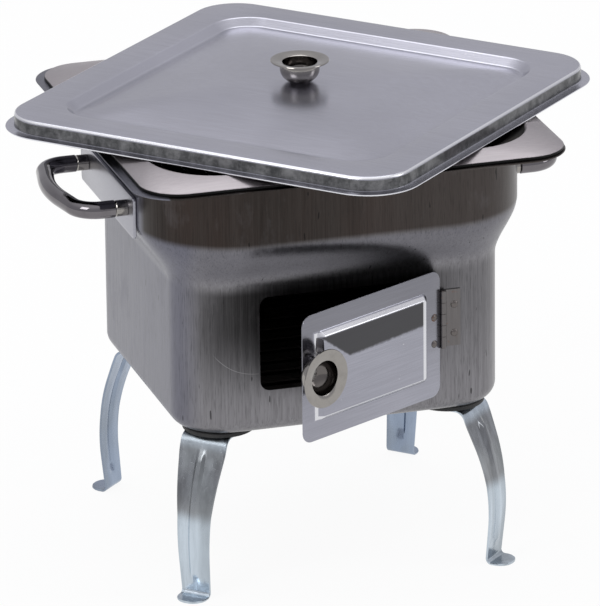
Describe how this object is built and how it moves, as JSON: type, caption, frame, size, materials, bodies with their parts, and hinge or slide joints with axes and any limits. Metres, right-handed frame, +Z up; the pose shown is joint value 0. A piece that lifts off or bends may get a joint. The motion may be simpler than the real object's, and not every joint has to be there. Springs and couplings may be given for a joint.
{
  "type": "charcoal barbecue",
  "caption": "Square tabletop charcoal barbecue: drawn steel tub on strip legs, hinged fire door, drop-in cooking frame with grate, loop handles and a loose pressed lid.",
  "frame": {"origin": "on the ground, under the middle of the tub and the lid", "axes": "+Z up, -Y out of the wall with the fire door, +X towards the door's hinge"},
  "size_m": [0.4672, 0.4672, 0.3855],
  "materials": {
    "tub_steel": "drawn and brushed stainless sheet, streaked up and down",
    "frame_steel": "satin pressed stainless sheet",
    "lid_steel": "satin pressed stainless sheet",
    "door_steel": "smooth pressed stainless sheet",
    "knob_steel": "spun and polished stainless cup",
    "handle_steel": "polished tube",
    "hinge_steel": "plain rolled strip",
    "rivet_steel": "dull rivet with a little rust",
    "screw_steel": "bright machine screw",
    "wire_chrome": "plated wire",
    "grate_steel": "dark heat-stained sheet",
    "galvanised_strip": "bright zinc plated strip with a blue-grey cast",
    "zinc_fasteners": "zinc plated",
    "black_pad": "matt black washer disc"
  },
  "bodies": {
    "tub": {"body_tub": "tub_steel", "handle_ferrules_left": "handle_steel", "handle_ferrules_right": "handle_steel", "handle_left": "handle_steel", "handle_plate_left": "tub_steel", "handle_plate_right": "tub_steel", "handle_right": "handle_steel", "handle_screws_left": "screw_steel", "handle_screws_right": "screw_steel", "hinge_leaf_body": "hinge_steel", "hinge_pin": "hinge_steel", "hinge_rivets_body": "rivet_steel", "leg_back_left": "galvanised_strip", "leg_back_right": "galvanised_strip", "leg_bolts": "zinc_fasteners", "leg_front_left": "galvanised_strip", "leg_front_right": "galvanised_strip", "leg_nuts": "zinc_fasteners", "leg_pad_back_left": "black_pad", "leg_pad_back_right": "black_pad", "leg_pad_front_left": "black_pad", "leg_pad_front_right": "black_pad"},
    "door": {"door_panel": "door_steel", "door_knob": "knob_steel", "door_knob_screw": "screw_steel", "hinge_leaf_door": "hinge_steel", "hinge_rivets_door": "rivet_steel"},
    "frame": {"grill_frame": "frame_steel"},
    "grate": {"cooking_grate": "wire_chrome"},
    "charcoal": {"charcoal_grate": "grate_steel"},
    "lid_fixing": {"lid_knob_screw": "screw_steel", "lid_knob_nut": "screw_steel"},
    "lid": {"lid_shell": "lid_steel", "lid_knob": "knob_steel"}
  },
  "joints": [
    {"name": "door_hinge", "type": "hinge", "parent": "tub", "child": "door", "pos_m": [0.076, -0.1333, 0.209], "axis": [0, 0, 1], "range_deg": [-28.4, 131.6]},
    {"name": "frame_lift", "type": "slide", "parent": "tub", "child": "frame", "axis": [0, 0, 1], "range_m": [0, 0.15]},
    {"name": "grate_lift", "type": "slide", "parent": "frame", "child": "grate", "axis": [0, 0, 1], "range_m": [0, 0.03]},
    {"name": "charcoal_lift", "type": "slide", "parent": "tub", "child": "charcoal", "axis": [0, 0, 1], "range_m": [0, 0.11]},
    {"name": "lid_lift", "type": "slide", "parent": "frame", "child": "lid_fixing", "axis": [0, 0, 1], "range_m": [0, 0.15]},
    {"name": "lid_turn", "type": "hinge", "parent": "lid_fixing", "child": "lid", "pos_m": [0.003, 0, 0.3675], "axis": [0, 0, 1], "range_deg": [-40, 40]}
  ]
}
